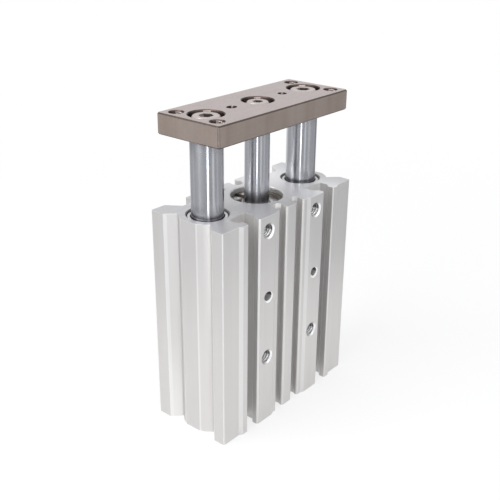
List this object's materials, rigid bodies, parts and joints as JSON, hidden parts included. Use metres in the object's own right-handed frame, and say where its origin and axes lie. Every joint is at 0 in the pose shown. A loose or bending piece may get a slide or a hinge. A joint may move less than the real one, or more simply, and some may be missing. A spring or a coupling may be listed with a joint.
{
  "type": "guided pneumatic cylinder",
  "caption": "Compact air cylinder whose piston rod and guide rods carry a tooling plate; the extruded body has T-slots, sensor slots and mounting holes.",
  "frame": {"origin": "middle of the body's lower end, on the axis of the piston rod", "axes": "+Z along the rods towards the tooling plate, +X along the row of rods, -Y out of the face with the T-slots"},
  "size_m": [0.064, 0.03, 0.1035],
  "materials": {
    "body_aluminium": "extruded, satin clear anodised",
    "cover_aluminium": "turned, clear anodised",
    "plate_nickel": "nickel plated, faintly brushed",
    "rod_chrome": "ground and hard chrome plated",
    "screw_steel": "nickel plated",
    "ring_steel": "phosphated spring steel",
    "holder_steel": "bright stamped steel",
    "bush_bronze": "sintered bronze",
    "wiper_felt": "oiled felt",
    "seal_rubber": "black nitrile rubber",
    "bumper_rubber": "amber urethane",
    "magnet": "bonded magnet"
  },
  "bodies": {
    "cylinder": {"cylinder_body": "body_aluminium", "rod_cover": "cover_aluminium", "rod_seal": "seal_rubber", "rod_cover_o_ring": "seal_rubber", "rod_end_retaining_ring": "ring_steel", "rod_end_bumper": "bumper_rubber", "head_cover": "cover_aluminium", "head_cover_o_ring": "seal_rubber", "head_end_retaining_ring": "ring_steel", "head_end_bumper": "bumper_rubber", "lower_guide_bush_left": "bush_bronze", "lower_guide_bush_right": "bush_bronze", "upper_guide_bush_left": "bush_bronze", "upper_guide_bush_right": "bush_bronze", "wiper_felt_left": "wiper_felt", "wiper_felt_right": "wiper_felt", "wiper_holder_left": "holder_steel", "wiper_holder_right": "holder_steel"},
    "carriage": {"tooling_plate": "plate_nickel", "piston_rod": "rod_chrome", "guide_rod_left": "rod_chrome", "guide_rod_right": "rod_chrome", "guide_rod_screws": "screw_steel", "piston_rod_screw": "screw_steel", "piston": "cover_aluminium", "piston_seal": "seal_rubber", "magnet_ring": "magnet", "piston_screw": "screw_steel"}
  },
  "joints": [
    {"name": "carriage_slide", "type": "slide", "parent": "cylinder", "child": "carriage", "axis": [0, 0, 1], "range_m": [-0.018, 0.022]}
  ]
}
